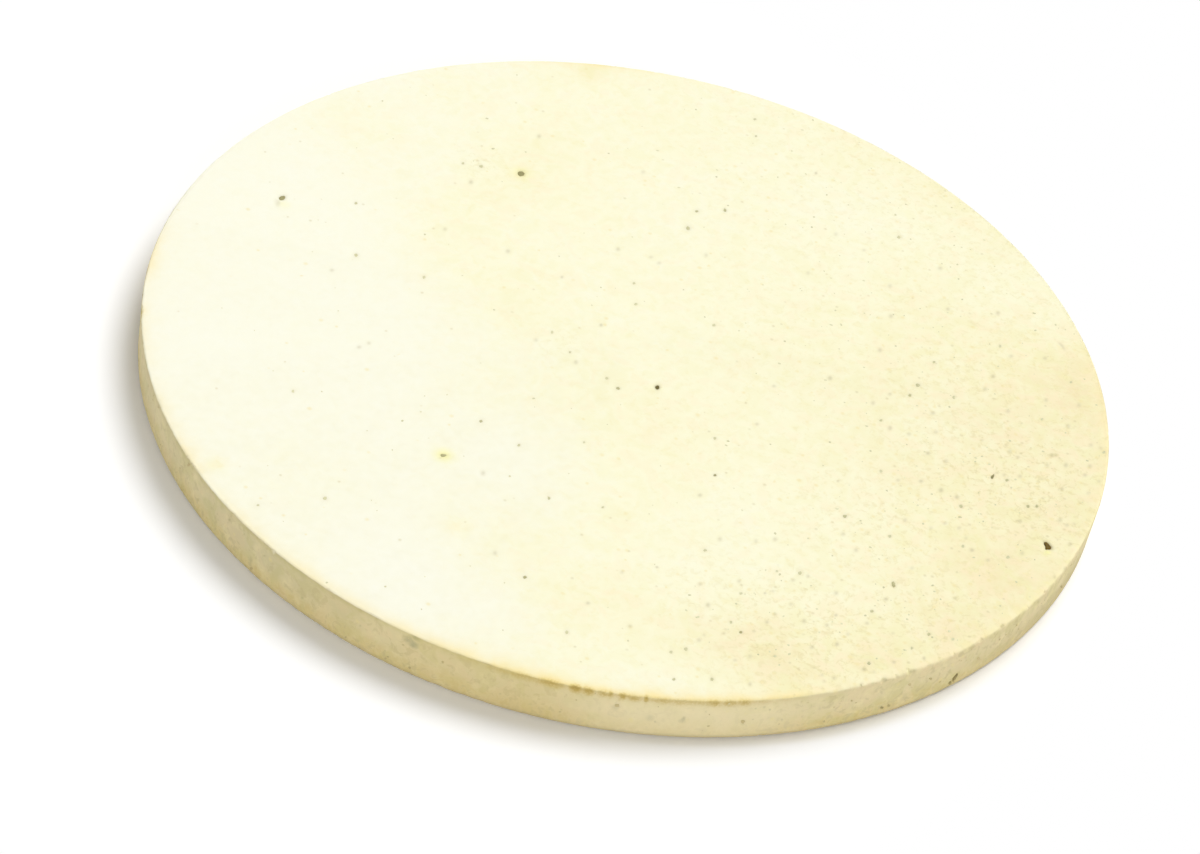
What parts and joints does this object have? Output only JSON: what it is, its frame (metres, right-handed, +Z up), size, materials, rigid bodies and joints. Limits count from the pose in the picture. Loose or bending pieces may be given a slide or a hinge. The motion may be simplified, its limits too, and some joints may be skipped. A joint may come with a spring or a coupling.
{
  "type": "pizza stone",
  "caption": "Round flat baking stone of unglazed fired ceramic, with a straight rim and softly rounded edges.",
  "frame": {"origin": "centre of the underside, on the surface that the stone lies on", "axes": "+Z up, out of the baking face; the stone is round, so +X and +Y lie along any two square diameters"},
  "size_m": [0.33, 0.33, 0.017],
  "materials": {
    "fired_ceramic": "matte"
  },
  "bodies": {
    "root": {"stone_disc": "fired_ceramic"}
  },
  "joints": []
}
